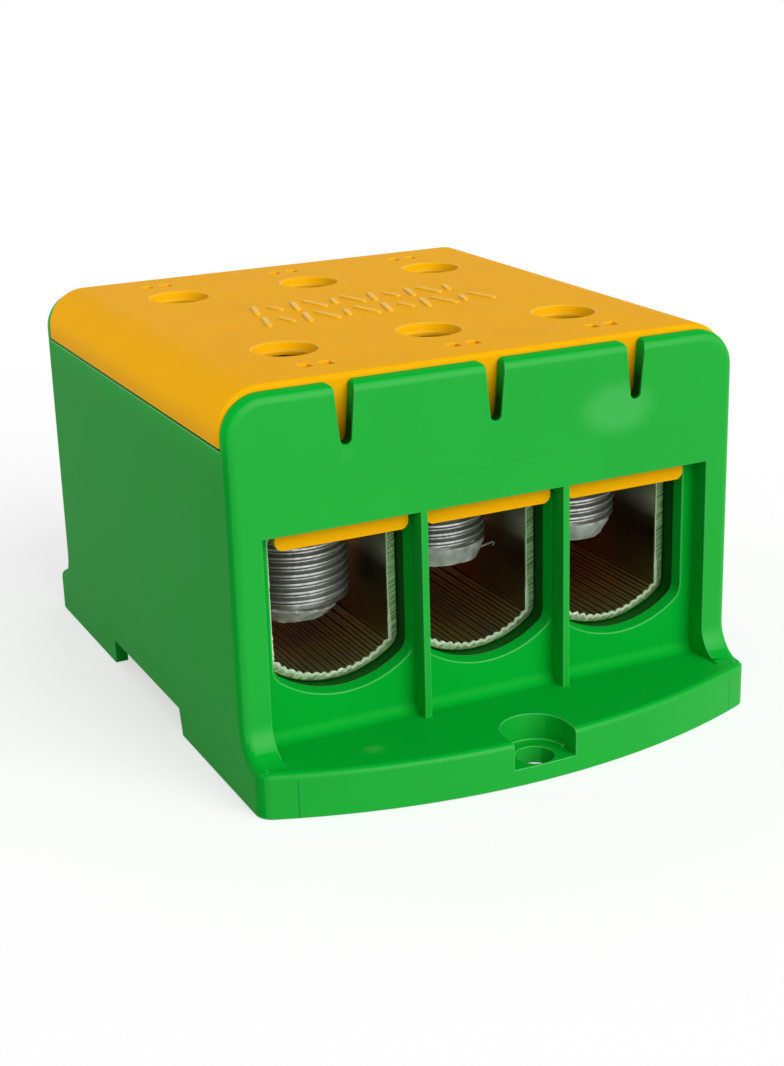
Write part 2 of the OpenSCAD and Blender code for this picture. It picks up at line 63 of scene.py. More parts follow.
MM = 0.001
UP = Vector((0, 0, 1))
ALONG_TUBES = Vector((0, 1, 0))
WHITE = (1, 1, 1, 1)
POLES = ("left", "middle", "right")
SCREWS = [f"{end}_screw_{pole}" for end in ("front", "back") for pole in POLES]
TUBES = [f"clamp_tube_{pole}" for pole in POLES]

# Sockets of Map Range and Mix that share their names with others of the node, so they go by number
FROM_LOW, FROM_HIGH, TO_LOW, TO_HIGH = 1, 2, 3, 4
MIX_A, MIX_B, MIXED = 6, 7, 2

# Typical of the real materials
POLYAMIDE_IOR = 1.53
GREASE_IOR = 1.47

# Widths of the materials' patterns. The grain, saw marks and rolled lines are drawn coarser than the real
# ones, of 0.1 mm and less, which don't show.
CLOUD = 14 * MM
GRAIN = 0.5 * MM
TARNISH_PATCH = 11 * MM
DIE_LINE = 0.6 * MM
SAW_MARK = 0.22 * MM
CHIP = 0.35 * MM
GREASE_SPOT = 0.9 * MM
GREASE_CLOUD = 2.2 * MM
ROLLED_LINE = 0.3 * MM

# Depths of their bumps
GRAIN_DEPTH = 0.03 * MM
SAW_DEPTH = 0.06 * MM
CHIP_DEPTH = 0.1 * MM
SPOT_DEPTH = 0.05 * MM
SMEAR_DEPTH = 0.2 * MM
ROLLED_DEPTH = 0.02 * MM

# Areas of a material, as soft limits: a measure, where the area begins and where it counts fully, in
# millimetres. side and far are the distances from the block's middle to a side and to an end, and off is
# the distance from a line.
KNIT_LINE = (("off", 0.4, 0.1), ("side", 12, 9), ("y", -46, -46.5))
WITNESS_LINES = (("off", 0.18, 0.05), ("far", 51, 51.4), ("z", 6.8, 6.2))
# Pockets and slots of the housing are darkened with painted shade
POCKET_SHADE = (("far", 42.05, 41.9), ("side", 39.6, 39.4), ("z", 12.4, 12.6))
SLOT_SHADE = (("side", 39.6, 39.4), ("far", 44.8, 45), ("far", 47.5, 47.2), ("z", 63.5, 59), ("z", 51, 52))
# The lid's skirts behind the slots are darkened with painted shade
SKIRT_SHADE = (("side", 39.6, 39.4), ("far", 44, 44.5), ("z", 64, 57), ("z", 51, 52))
DEEP_BORE = (("far", 37, 18),)
PALE_BAND = (("z", 31, 34), ("z", 38, 35), ("far", 20, 30))
SAWN_ENDS = (("far", 38.5, 38.65),)

# Line where two streams of melt met: its height in the middle, its rise to the right and its strength
KNIT_HEIGHT = 48.74 * MM
KNIT_RISE = 0.0555
KNIT_SHARE = 0.25

# Witness lines: the middle between the two of a flange, and how far each is from it
WITNESS_MIDDLE = 0.5 * MM
WITNESS_REACH = 40.4 * MM

# Paler marks: an oval and a small spot where the melt came in, and a rubbed spot on the front flange. Each
# has its centre and half axes in millimetres, its soft core and its share of the paler green.
PALE_MARKS = (
    ((22.6, -47.8, 54.84), (8.8, 3, 5.6), 0.35, 0.5),
    ((-26.1, -47.8, 54.3), (1.4, 3, 1.4), 0.5, 0.1),
    ((-26, -54, 7.7), (2.6, 2.2, 1), 0.1, 0.35),
)

# The housing's outer end faces: how squarely they face an end, and how far out they are, at least
END_FACING = 0.7
END_REACH = 45.5 * MM

# Gloss of the mouldings, where 0.5 is plain polyamide
SATIN_GLOSS = 0.04
END_GLOSS = 0.28
EDGE_GLOSS = 0.2
LID_GLOSS = 0.014
LID_EDGE_GLOSS = 0.05
LATCH_GLOSS = 0.1

# Edges that turn by more than this stay sharp, on round pieces and on pieces with large flat faces
SHARP_ROUND = math.radians(38)
SHARP_FLAT = math.radians(35)

# Points of a solid that are closer than this become one, and so do faces that turn by less than this
WELD = 0.002 * MM
ONE_FACE = math.radians(0.4)

# Eased corners of a moulding: the least turn, the room beside them in radii, the steps of the round, and the
# clear run from which a face counts as a long strip
EASE_TURN = math.radians(30)
EASE_ROOM = 2.3
EASE_STEPS = 2
LONG_STRIP = 12 * MM

# Step between the places in the noise that two seeds read
SEED_STEP = Vector((17.3, 5.1, 9.7))

# Grease on the tips: how much of the cone it fills, pole by pole, and the side with the most of it
GREASE_SHARE = (0.22, 1.05, 0.8)
GREASE_SIDE = math.radians(215)

# Amount of grease at one place of a tip: the least, what the heavy side adds and what slow ripples add
GREASE_LEAST = 0.05
GREASE_LEAN = 0.45
GREASE_UNEVEN = 0.25

# What grease does there: the least, what the amount adds and what quick ripples add. The height that it
# climbs, the depth that it hangs and its film on the thread are in millimetres, and the fill is a share of
# the cone.
GREASE_CLIMB = (1.0, 2.2, 0.4)
GREASE_HANG = (0.04, 0.1, 0.06)
GREASE_FILL = (0.04, 0.74, 0.05)
GREASE_FILM = (0.06, 0.0, 0.1)

# Curl of grease: its screw, and its points from the middle of that screw's tip in millimetres
CURL_SCREW = "front_screw_middle"
CURL_POINTS = (
    (5.2, -4, 0.4), (6.2, -4, 0.5), (7.2, -4, 0.6), (8.1, -4, 0.8), (8.9, -4, 0.95), (9.4, -4, 1.05),
    (9.75, -4, 0.85), (9.65, -4, 0.55), (9.35, -4, 0.5),
)

# Stage: the film's width in millimetres, the nearest distance that is seen, the strip light's size, beam and
# place, and the floor's rings in metres, its drop below the block and the depth of its shadow
SENSOR_WIDTH = 36
NEAREST_SEEN = 10 * MM
STRIP_SIZE = (130 * MM, 6 * MM)
STRIP_BEAM = math.radians(6)
STRIP_PLACE = (-220 * MM, 0, 63 * MM)
FLOOR_RINGS = (8, 2, 0.5)
FLOOR_DROP = 0.05 * MM
FLOOR_SHADE = 0.45


def linear(code):
    """Linear colour of an sRGB hex value."""
    parts = [int(code[i : i + 2], 16) / 255 for i in (1, 3, 5)]
    return tuple(c / 12.92 if c <= 0.04045 else ((c + 0.055) / 1.055) ** 2.4 for c in parts)


def colour_prop(name, description, code):
    """Colour setting that starts from an sRGB hex value."""
    return bpy.props.FloatVectorProperty(
        name=name, description=description, subtype="COLOR", size=3, min=0, max=1, default=linear(code)
    )


def length_prop(name, description, mm):
    """Length setting that starts from millimetres."""
    return bpy.props.FloatProperty(
        name=name, description=description, subtype="DISTANCE", unit="LENGTH", min=0, default=mm * MM,
        precision=5,
    )


def angle_prop(name, description, degrees):
    """Angle setting that starts from degrees."""
    return bpy.props.FloatProperty(
        name=name, description=description, subtype="ANGLE", default=math.radians(degrees)
    )


class TerminalFinish(bpy.types.PropertyGroup):
    """Colours of the block."""

    housing: colour_prop("Housing", "Green of the moulded housing", "#00A82D")
    # Painted highlight: the paler green along the housing's edges
    housing_edge_highlight: colour_prop("Housing edge", "Paler green along the housing's edges", "#38B550")
    blush: colour_prop("Blush", "Paler green where the melt came in", "#4DBE5C")
    # Painted shade: the dark green that stands for the shade in the pockets and slots
    pocket_and_slot_shade: colour_prop("Pocket", "Shaded dark green of the pockets and slots", "#05500F")
    lid: colour_prop("Lid", "Yellow of the moulded lid", "#F7B107")
    # Painted highlight: the paler yellow along the lid's edges and on its raised bars
    lid_edge_highlight: colour_prop("Lid edge", "Paler yellow along the lid's edges", "#FBBF2E")
    latch: colour_prop("Latch", "Green of the rail latch", "#0E8A35")
    aluminium: colour_prop("Aluminium", "Bare metal of the clamp tubes", "#DADFD0")
    # Painted reflection: the green in the sawn ends' colour stands for the green housing that they mirror
    sawn: colour_prop("Sawn ends", "Ends of the clamp tubes, that take the green beside them", "#A6D092")
    bore: colour_prop("Bore", "Tarnished bore of the clamp tubes", "#BEB66C")
    deep: colour_prop("Deep bore", "Warmer tarnish deep inside the clamp tubes", "#D0801A")
    zinc: colour_prop("Zinc", "Plating of the clamp screws", "#D8DAD8")
    thread: colour_prop("Thread", "Greasy flanks of the clamp screws' thread", "#8E908C")
    # Painted shade: the darker grey of the thread's flanks, beside the bright zinc of the crests and roots
    steel: colour_prop("Spring steel", "Rolled strip of the latch spring", "#A4A6AA")
    grease: colour_prop("Grease", "Contact grease on the screw tips", "#AEB4AD")


class TerminalSizes(bpy.types.PropertyGroup):
    """Sizes of what is finer than the solids."""

    edge: length_prop("Edge", "Radius of the housing's and lid's moulded edges", 0.18)
    tube_edge: length_prop("Tube edge", "Round of a clamp tube's sawn outer edge", 0.35)
    pitch: length_prop("Pitch", "Pitch of the clamp screws' thread", 1.5)
    depth: length_prop("Depth", "Depth of the clamp screws' thread", 0.55)
    tip: length_prop("Tip", "Radius of a screw's flat tip", 5)
    cone: length_prop("Cone", "Height of the cone above the tip", 3)
    socket: length_prop("Socket", "Width across the flats of a screw's socket", 10)
    socket_depth: length_prop("Socket depth", "Depth of a screw's socket", 9)
    bar: length_prop("Bar", "Length of a raised bar on the lid", 7.2)
    bar_width: length_prop("Bar width", "Width of a raised bar", 1.1)
    bar_height: length_prop("Bar height", "Height of a raised bar", 0.3)
    bar_pitch: length_prop("Bar pitch", "Step from bar to bar along a row", 3.8)
    row_pitch: length_prop("Row pitch", "Step from row to row", 10)
    curl: length_prop("Curl", "Thickness of the curl of grease on a screw's tip", 0.4)
    bed: length_prop("Bed", "Radius of a clamp tube's round floor", 15.5)
    bed_floor: length_prop("Bed floor", "Thickness of a clamp tube's floor", 1.1)
    ridge: length_prop("Ridge", "Height of the ridges along a clamp tube's floor", 0.4)
    burr: length_prop("Burr", "Height of the burr at a tube's inner edge", 0.35)


class TerminalStage(bpy.types.PropertyGroup):
    """Camera and light."""

    azimuth: angle_prop("Azimuth", "Where the camera stands round the block", -25.49)
    elevation: angle_prop("Elevation", "Height of the camera above the horizon", 18.67)
    roll: angle_prop("Roll", "Lean of the camera", -1.67)
    place: bpy.props.FloatVectorProperty(
        name="Place", description="Where the camera is", subtype="TRANSLATION",
        default=(-0.1342, -0.28991, 0.13116),
    )
    lens: bpy.props.FloatProperty(
        name="Lens", description="Focal length in millimetres", subtype="DISTANCE_CAMERA", min=1,
        default=61.31,
    )
    sky: bpy.props.FloatProperty(
        name="Sky", description="Light from all round, 1 is white", min=0, default=0.5
    )
    key: bpy.props.FloatVectorProperty(
        name="Key", description="Light that falls on a right, a front and an upper face", size=3,
        default=(0.18, 0.56, 0.35),
    )
    softness: angle_prop("Softness", "Width of the key light in the sky", 50)
    strip: bpy.props.FloatProperty(
        name="Strip", description="Power of the strip light beside the lid", subtype="POWER", min=0,
        default=0.0016,
    )
    bounce: bpy.props.FloatProperty(
        name="Bounce", description="Share of light that the floor throws back", subtype="FACTOR",
        min=0, max=1, default=0.6,
    )


def add(tree, kind, inputs=None, **settings):
    """Adds a shader node with its settings, and links or fills its sockets."""
    node = tree.nodes.new("ShaderNode" + kind)
    for name, value in settings.items():
        setattr(node, name, value)
    for name, value in (inputs or {}).items():
        if isinstance(value, bpy.types.NodeSocket):
            tree.links.new(value, node.inputs[name])
        else:
            node.inputs[name].default_value = value
    return node


def new_material(name):
    """Empty material and its node tree."""
    material = bpy.data.materials.new(name)
    material.use_nodes = True
    material.node_tree.nodes.clear()
    return material, material.node_tree


def surface(tree, inputs):
    """Ends a material in a Principled surface."""
    shader = add(tree, "BsdfPrincipled", inputs)
    add(tree, "OutputMaterial", {"Surface": shader.outputs[0]})


def rgba(colour, level=1.0):
    """Colour of a socket, brightened or darkened by a level."""
    return (*(min(1.0, c * level) for c in colour), 1.0)


def moulded_skin(tree, place, colour, darkest, palest, relief):
    """Soft clouds, the tone that they give a colour, and the bump of the moulded grain."""
    cloud = add(tree, "TexNoise", {"Vector": place, "Scale": 1 / CLOUD, "Detail": 3.0}).outputs["Fac"]
    tones = {0: cloud, MIX_A: rgba(colour, darkest), MIX_B: rgba(colour, palest)}
    tone = add(tree, "Mix", tones, data_type="RGBA").outputs[MIXED]
    grain = add(tree, "TexNoise", {"Vector": place, "Scale": 1 / GRAIN, "Detail": 2.0}).outputs["Fac"]
    bump = add(tree, "Bump", {"Height": grain, "Strength": relief, "Distance": GRAIN_DEPTH}).outputs[0]
    return cloud, tone, bump


def spot(tree, place, centre, radii, core):
    """1 in the core of an oval, given in millimetres, falling to 0 at its rim."""
    middle = tuple(c * MM for c in centre)
    shrink = tuple(1 / (r * MM) for r in radii)
    out = add(tree, "VectorMath", {0: place, 1: middle}, operation="SUBTRACT").outputs[0]
    oval = add(tree, "VectorMath", {0: out, 1: shrink}, operation="MULTIPLY").outputs[0]
    reach = add(tree, "VectorMath", {0: oval}, operation="LENGTH").outputs["Value"]
    fade = {"Value": reach, FROM_LOW: 1.0, FROM_HIGH: core}
    return add(tree, "MapRange", fade, interpolation_type="SMOOTHSTEP").outputs[0]


def measures(tree, place):
    """Place on the block along each axis, and its distances from the middle to a side and to an end."""
    x, y, z = add(tree, "SeparateXYZ", {0: place}).outputs
    side = add(tree, "Math", {0: x}, operation="ABSOLUTE").outputs[0]
    far = add(tree, "Math", {0: y}, operation="ABSOLUTE").outputs[0]
    return {"x": x, "y": y, "z": z, "side": side, "far": far}


def inside(tree, at, area):
    """1 inside an area and 0 outside: the product of what its soft limits give."""
    share = 1.0
    for measure, start, full in area:
        limit = {"Value": at[measure], FROM_LOW: start * MM, FROM_HIGH: full * MM}
        step = add(tree, "MapRange", limit).outputs[0]
        share = add(tree, "Math", {0: share, 1: step}, operation="MULTIPLY").outputs[0]
    return share


def green_polyamide(name, finish, gloss):
    """Polyamide, injection moulded in a satin tool: even green with faint clouds, a paler oval and a small
    spot where the melt came in, a faint line where two streams met, thin witness lines of the tool's slides
    on the flanges, a rubbed spot on the front flange, and painted shade that darkens the pockets and slots.
    The outer end faces come from a smoother part of the tool and shine more than the others."""
    material, tree = new_material(name)
    place = add(tree, "TexCoord").outputs["Object"]
    cloud, tone, bump = moulded_skin(tree, place, finish.housing, 0.94, 1.06, 0.12)
    at = measures(tree, place)
    layers = []

    for centre, radii, core, share in PALE_MARKS:
        pale = spot(tree, place, centre, radii, core)
        pale = add(tree, "Math", {0: pale, 1: share}, operation="MULTIPLY").outputs[0]
        layers.append((pale, rgba(finish.blush)))

    # Line where two streams of melt met, across the middle of the front wall
    line = {0: at["x"], 1: KNIT_RISE, 2: KNIT_HEIGHT}
    line = add(tree, "Math", line, operation="MULTIPLY_ADD").outputs[0]
    off = add(tree, "Math", {0: at["z"], 1: line}, operation="SUBTRACT").outputs[0]
    off = add(tree, "Math", {0: off}, operation="ABSOLUTE").outputs[0]
    knit = inside(tree, {**at, "off": off}, KNIT_LINE)
    knit = add(tree, "Math", {0: knit, 1: KNIT_SHARE}, operation="MULTIPLY").outputs[0]
    layers.append((knit, rgba(finish.housing, 0.8)))

    # Witness lines near the flanges' corners
    off = at["x"]
    for step in (WITNESS_MIDDLE, WITNESS_REACH):
        off = add(tree, "Math", {0: off, 1: step}, operation="SUBTRACT").outputs[0]
        off = add(tree, "Math", {0: off}, operation="ABSOLUTE").outputs[0]
    layers.append((inside(tree, {**at, "off": off}, WITNESS_LINES), rgba(finish.housing, 0.62)))

    # Painted shade in the pockets behind the sills, and in the slots of the end walls, which the lid's skirt
    # shuts from behind
    for area in (POCKET_SHADE, SLOT_SHADE):
        layers.append((inside(tree, at, area), rgba(finish.pocket_and_slot_shade)))

    for share, colour in layers:
        tone = add(tree, "Mix", {0: share, MIX_A: tone, MIX_B: colour}, data_type="RGBA").outputs[MIXED]
    rough = add(tree, "MapRange", {"Value": cloud, TO_LOW: 0.42, TO_HIGH: 0.52}).outputs[0]
    surface(tree, {
        "Base Color": tone, "Roughness": rough, "IOR": POLYAMIDE_IOR, "Specular IOR Level": gloss,
        "Normal": bump,
    })
    return material


def moulded_edge_highlight(name, colour, gloss):
    """Polyamide where faces of the tool meet: a glossier strip whose paler colour is a painted highlight,
    drawing a thin bright line along an edge."""
    material, tree = new_material(name)
    place = add(tree, "TexCoord").outputs["Object"]
    tone, bump = moulded_skin(tree, place, colour, 0.88, 1.12, 0.1)[1:]
    surface(tree, {
        "Base Color": tone, "Roughness": 0.34, "IOR": POLYAMIDE_IOR, "Specular IOR Level": gloss,
        "Normal": bump,
    })
    return material


def yellow_polyamide(finish):
    """Polyamide, injection moulded with a finely textured top: warm yellow that deepens in clouds, nearly
    without gloss, with painted shade that darkens the skirts behind the end walls' slots."""
    material, tree = new_material("Yellow polyamide, injection moulded")
    place = add(tree, "TexCoord").outputs["Object"]
    cloud, tone, bump = moulded_skin(tree, place, finish.lid, 0.95, 1.03, 0.15)
    # Painted shade on the skirts behind the end walls' slots
    skirt_shade = inside(tree, measures(tree, place), SKIRT_SHADE)
    shaded_skirt = {0: skirt_shade, MIX_A: tone, MIX_B: rgba(finish.lid, 0.3)}
    tone = add(tree, "Mix", shaded_skirt, data_type="RGBA").outputs[MIXED]
    rough = add(tree, "MapRange", {"Value": cloud, TO_LOW: 0.44, TO_HIGH: 0.54}).outputs[0]
    surface(tree, {
        "Base Color": tone, "Roughness": rough, "IOR": POLYAMIDE_IOR, "Specular IOR Level": LID_GLOSS,
        "Normal": bump,
    })
    return material


def latch_polyamide(finish):
    """Polyamide, injection moulded in a blasted tool: a deeper, duller green than the housing."""
    material, tree = new_material("Green polyamide, moulded latch")
    place = add(tree, "TexCoord").outputs["Object"]
    tone, bump = moulded_skin(tree, place, finish.latch, 0.9, 1.1, 0.2)[1:]
    surface(tree, {
        "Base Color": tone, "Roughness": 0.5, "IOR": POLYAMIDE_IOR, "Specular IOR Level": LATCH_GLOSS,
        "Normal": bump,
    })
    return material


def extruded_aluminium(finish):
    """Aluminium, extruded and sawn: a bore that tarnish and old contact paste have turned dark brown, with
    walls darkest in painted shade, painted light and shade across the floor's ridges, die lines along the
    tube, grey patches and a pale band, and ends that the saw has left bright, with slanting scratches and a
    painted reflection of the green housing."""
    material, tree = new_material("Aluminium, extruded and sawn")
    coords = add(tree, "TexCoord")
    place = coords.outputs["Object"]
    at = measures(tree, place)

    # Tarnish, warmer deep inside, with grey patches
    patch = {"Vector": place, "Scale": 1 / TARNISH_PATCH, "Detail": 2.0}
    patch = add(tree, "TexNoise", patch).outputs["Fac"]
    grey = {"Value": patch, FROM_LOW: 0.48, FROM_HIGH: 0.68, TO_HIGH: 0.5}
    grey = add(tree, "MapRange", grey).outputs[0]
    bore = rgba(finish.bore)
    warm = inside(tree, at, DEEP_BORE)
    for share, colour in ((warm, rgba(finish.deep)), (grey, rgba(finish.aluminium, 0.35))):
        bore = add(tree, "Mix", {0: share, MIX_A: bore, MIX_B: colour}, data_type="RGBA").outputs[MIXED]

    # Painted highlight on the crests of the floor's ridges, painted shade on both their flanks, and painted
    # shade that makes the walls darker than the floor
    crest = add(tree, "Attribute", attribute_name="crest").outputs["Fac"]
    flank = add(tree, "Math", {0: crest, 1: 0.5}, operation="SUBTRACT").outputs[0]
    flank = add(tree, "Math", {0: flank}, operation="ABSOLUTE").outputs[0]
    painted_light = {"Value": flank, FROM_LOW: 0.05, FROM_HIGH: 0.45, TO_LOW: 0.25, TO_HIGH: 1.3}
    painted_light = add(tree, "MapRange", painted_light).outputs[0]
    level = add(tree, "SeparateXYZ", {0: coords.outputs["Normal"]}).outputs[2]
    level = add(tree, "Math", {0: level}, operation="ABSOLUTE").outputs[0]
    level = {"Value": level, FROM_LOW: 0.1, FROM_HIGH: 0.4, TO_LOW: 0.5, TO_HIGH: 1.0}
    level = add(tree, "MapRange", level).outputs[0]
    painted_light = add(tree, "Math", {0: painted_light, 1: level}, operation="MULTIPLY").outputs[0]
    bore = add(tree, "VectorMath", {0: bore, 3: painted_light}, operation="SCALE").outputs[0]

    # Pale band along the upper walls, in patches
    pale_band = inside(tree, at, PALE_BAND)
    pale_band = add(tree, "Math", {0: pale_band, 1: patch}, operation="MULTIPLY").outputs[0]
    with_pale_band = {0: pale_band, MIX_A: bore, MIX_B: rgba(finish.aluminium, 1.3)}
    bore = add(tree, "Mix", with_pale_band, data_type="RGBA").outputs[MIXED]

    # Saw marks that slant across the ends
    slant = {"Vector": place, "Rotation": (0, math.radians(66), 0), "Scale": (1, 1, 16)}
    slant = add(tree, "Mapping", slant, vector_type="TEXTURE").outputs[0]
    scratch = {"Vector": slant, "Scale": 1 / SAW_MARK, "Detail": 4.0}
    scratch = add(tree, "TexNoise", scratch).outputs["Fac"]
    cut = add(tree, "MapRange", {"Value": scratch, FROM_LOW: 0.38, FROM_HIGH: 0.64}).outputs[0]
    # The sawn ends' tone carries a painted reflection of the green housing
    marks = {0: cut, MIX_A: rgba(finish.sawn, 0.42), MIX_B: rgba(finish.sawn, 1.3)}
    end = add(tree, "Mix", marks, data_type="RGBA").outputs[MIXED]

    # Die lines in the bore, stretched along the tube
    drawn = add(tree, "Mapping", {"Vector": place, "Scale": (1, 0.02, 1)}).outputs[0]
    lines = add(tree, "TexNoise", {"Vector": drawn, "Scale": 1 / DIE_LINE, "Detail": 3.0}).outputs["Fac"]

    sawn = inside(tree, at, SAWN_ENDS)
    tone = add(tree, "Mix", {0: sawn, MIX_A: bore, MIX_B: end}, data_type="RGBA").outputs[MIXED]
    height = add(tree, "Mix", {0: sawn, 2: lines, 3: scratch}, data_type="FLOAT").outputs[0]
    rough = add(tree, "MapRange", {"Value": sawn, TO_LOW: 0.3, TO_HIGH: 0.5}).outputs[0]
    bump = add(tree, "Bump", {"Height": height, "Strength": 0.5, "Distance": SAW_DEPTH}).outputs[0]
    metal = add(tree, "MapRange", {"Value": sawn, TO_LOW: 0.88, TO_HIGH: 1.0}).outputs[0]
    surface(tree, {"Base Color": tone, "Metallic": metal, "Roughness": rough, "Normal": bump})
    return material


def torn_aluminium(finish):
    """Aluminium, torn by the saw: a ragged lip that is nearly white."""
    material, tree = new_material("Aluminium, torn burr")
    place = add(tree, "TexCoord").outputs["Object"]
    chip = add(tree, "TexNoise", {"Vector": place, "Scale": 1 / CHIP, "Detail": 4.0}).outputs["Fac"]
    # The lip's darker tone carries the sawn ends' painted reflection of the green housing
    tones = {0: chip, MIX_A: rgba(finish.sawn, 1.1), MIX_B: rgba(finish.aluminium, 1.2)}
    tone = add(tree, "Mix", tones, data_type="RGBA").outputs[MIXED]
    bump = add(tree, "Bump", {"Height": chip, "Strength": 0.8, "Distance": CHIP_DEPTH}).outputs[0]
    surface(tree, {"Base Color": tone, "Metallic": 0.4, "Roughness": 0.5, "Normal": bump})
    return material


def zinc_plate(name, colour):
    """Steel, thread rolled and zinc plated: cool grey with small dull spots of grease. A screw wears it
    twice:
    the bright zinc on the crests and roots, and a darker copy in painted shade on the flanks."""
    material, tree = new_material(name)
    place = add(tree, "TexCoord").outputs["Object"]
    spots = add(tree, "TexNoise", {"Vector": place, "Scale": 1 / GREASE_SPOT, "Detail": 4.0}).outputs["Fac"]
    dull = add(tree, "MapRange", {"Value": spots, FROM_LOW: 0.42, FROM_HIGH: 0.66}).outputs[0]
    tones = {0: dull, MIX_A: rgba(colour), MIX_B: rgba(colour, 0.74)}
    tone = add(tree, "Mix", tones, data_type="RGBA").outputs[MIXED]
    rough = add(tree, "MapRange", {"Value": dull, TO_LOW: 0.34, TO_HIGH: 0.55}).outputs[0]
    bump = add(tree, "Bump", {"Height": spots, "Strength": 0.25, "Distance": SPOT_DEPTH}).outputs[0]
    surface(tree, {"Base Color": tone, "Metallic": 0.85, "Roughness": rough, "Normal": bump})
    return material


def contact_grease(finish):
    """Contact grease, wiped on: cloudy grey-white with a wet shine."""
    material, tree = new_material("Contact grease, wiped on")
    place = add(tree, "TexCoord").outputs["Object"]
    smear = add(tree, "TexNoise", {"Vector": place, "Scale": 1 / GREASE_CLOUD, "Detail": 3.0}).outputs["Fac"]
    cloud = add(tree, "MapRange", {"Value": smear, FROM_LOW: 0.35, FROM_HIGH: 0.65}).outputs[0]
    tones = {0: cloud, MIX_A: rgba(finish.grease, 0.6), MIX_B: rgba(finish.grease)}
    tone = add(tree, "Mix", tones, data_type="RGBA").outputs[MIXED]
    bump = add(tree, "Bump", {"Height": smear, "Strength": 0.25, "Distance": SMEAR_DEPTH}).outputs[0]
    surface(tree, {"Base Color": tone, "Roughness": 0.3, "IOR": GREASE_IOR, "Normal": bump})
    return material


def rolled_strip(finish):
    """Spring steel, rolled: dark grey with fine lines across the strip."""
    material, tree = new_material("Spring steel, rolled strip")
    place = add(tree, "TexCoord").outputs["Object"]
    rolled = add(tree, "Mapping", {"Vector": place, "Scale": (0.05, 1, 1)}).outputs[0]
    lines = add(tree, "TexNoise", {"Vector": rolled, "Scale": 1 / ROLLED_LINE, "Detail": 3.0}).outputs["Fac"]
    tones = {0: lines, MIX_A: rgba(finish.steel, 0.7), MIX_B: rgba(finish.steel)}
    tone = add(tree, "Mix", tones, data_type="RGBA").outputs[MIXED]
    bump = add(tree, "Bump", {"Height": lines, "Strength": 0.3, "Distance": ROLLED_DEPTH}).outputs[0]
    surface(tree, {"Base Color": tone, "Metallic": 1.0, "Roughness": 0.35, "Normal": bump})
    return material


def dress(piece, *materials):
    """Gives a piece its materials and smooth faces between its sharp edges."""
    if piece.data.materials:
        piece.data.materials.clear()
    for material in materials:
        piece.data.materials.append(material)
    for face in piece.data.polygons:
        face.use_smooth = True
    piece.data.set_sharp_from_angle(angle=SHARP_ROUND)


def place_piece(name, bm, body, slot, *materials):
    """Puts a finished mesh into the scene, on its body, or on none where none is given."""
    mesh = bpy.data.meshes.new(name)
    bm.to_mesh(mesh)
    bm.free()
    piece = bpy.data.objects.new(name, mesh)
    bpy.context.scene.collection.objects.link(piece)
    dress(piece, *materials)
    if body:
        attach(piece, body)
    return piece


def flatten(piece):
    """Shades a piece's large faces flat, so that only its eased edges turn."""
    piece.data.set_sharp_from_angle(angle=SHARP_FLAT)
    flat = piece.modifiers.new("flat_faces", "WEIGHTED_NORMAL")
    flat.mode = "FACE_AREA"
    flat.weight = 100
    flat.keep_sharp = True


def solid_of(node):
    """A node's solid as a joined mesh with whole flat faces."""
    bm = bmesh.new()
    bm.from_mesh(NODES[node].data)
    bmesh.ops.remove_doubles(bm, verts=bm.verts, dist=WELD)
    bmesh.ops.dissolve_limit(bm, angle_limit=ONE_FACE, verts=bm.verts, edges=bm.edges)
    return bm


def clear_run(loop):
    """Shortest way across a face, from one of its edges to the rest of its outline."""
    start, end = loop.vert.co, loop.link_loop_next.vert.co
    along = (end - start).normalized()
    inward = loop.face.normal.cross(along)
    feet = (0.05, 0.5, 0.95)
    best = math.inf
    for share in feet:
        foot = start.lerp(end, share)
        for other in loop.face.edges:
            if set(other.verts) & set(loop.edge.verts):
                continue
            p, q = (v.co - foot for v in other.verts)
            before, after = p.dot(along), q.dot(along)
            if before * after <= 0 and before != after:
                across = p.lerp(q, before / (before - after)).dot(inward)
                best = min(best, across) if across > 0 else best
    return best


def corners(bm, room):
    """Outer edges that turn, between faces that leave room to round them; the short ends of long strips stay
    sharp."""
    edges = []
    for e in bm.edges:
        if len(e.link_faces) == 2 and e.calc_face_angle_signed() > EASE_TURN:
            runs = [clear_run(loop) for loop in e.link_loops]
            if min(runs) > room and (e.calc_length() > room or max(runs) < LONG_STRIP):
                edges.append(e)
    return edges


def ease(bm, edges, radius, segments, material=-1):
    """Rounds edges, in a material of their own where one is given."""
    bmesh.ops.bevel(
        bm, geom=edges, offset=radius, offset_type="OFFSET", segments=segments, profile=0.5, affect="EDGES",
        clamp_overlap=False, material=material,
    )


def ease_moulding(bm, radius):
    """Rounds the outer corners of a moulding, in its second material."""
    ease(bm, corners(bm, EASE_ROOM * radius), radius, EASE_STEPS, 1)


def skin(bm, rings):
    """Faces between rings of vertices that follow one another; a ring of one is a pole."""
    for a, b in zip(rings, rings[1:]):
        count = max(len(a), len(b))
        for i in range(count):
            j = (i + 1) % count
            loop = [a[i % len(a)], a[j % len(a)], b[j % len(b)], b[i % len(b)]]
            bm.faces.new(list(dict.fromkeys(loop)))


def ring(bm, count, at):
    """Ring of vertices, each placed by its angle."""
    return [bm.verts.new(at(2 * math.pi * i / count)) for i in range(count)]


def round_at(r, z):
    """Places on a circle, by their angle."""
    return lambda a: (r * math.cos(a), r * math.sin(a), z)


def hexagon_at(half, z):
    """Places on a hexagon of a given half width across its flats, by their angle."""
    def at(a):
        turn = (a + math.pi / 6) % (math.pi / 3) - math.pi / 6
        r = half / math.cos(turn)
        return (r * math.cos(a), r * math.sin(a), z)

    return at


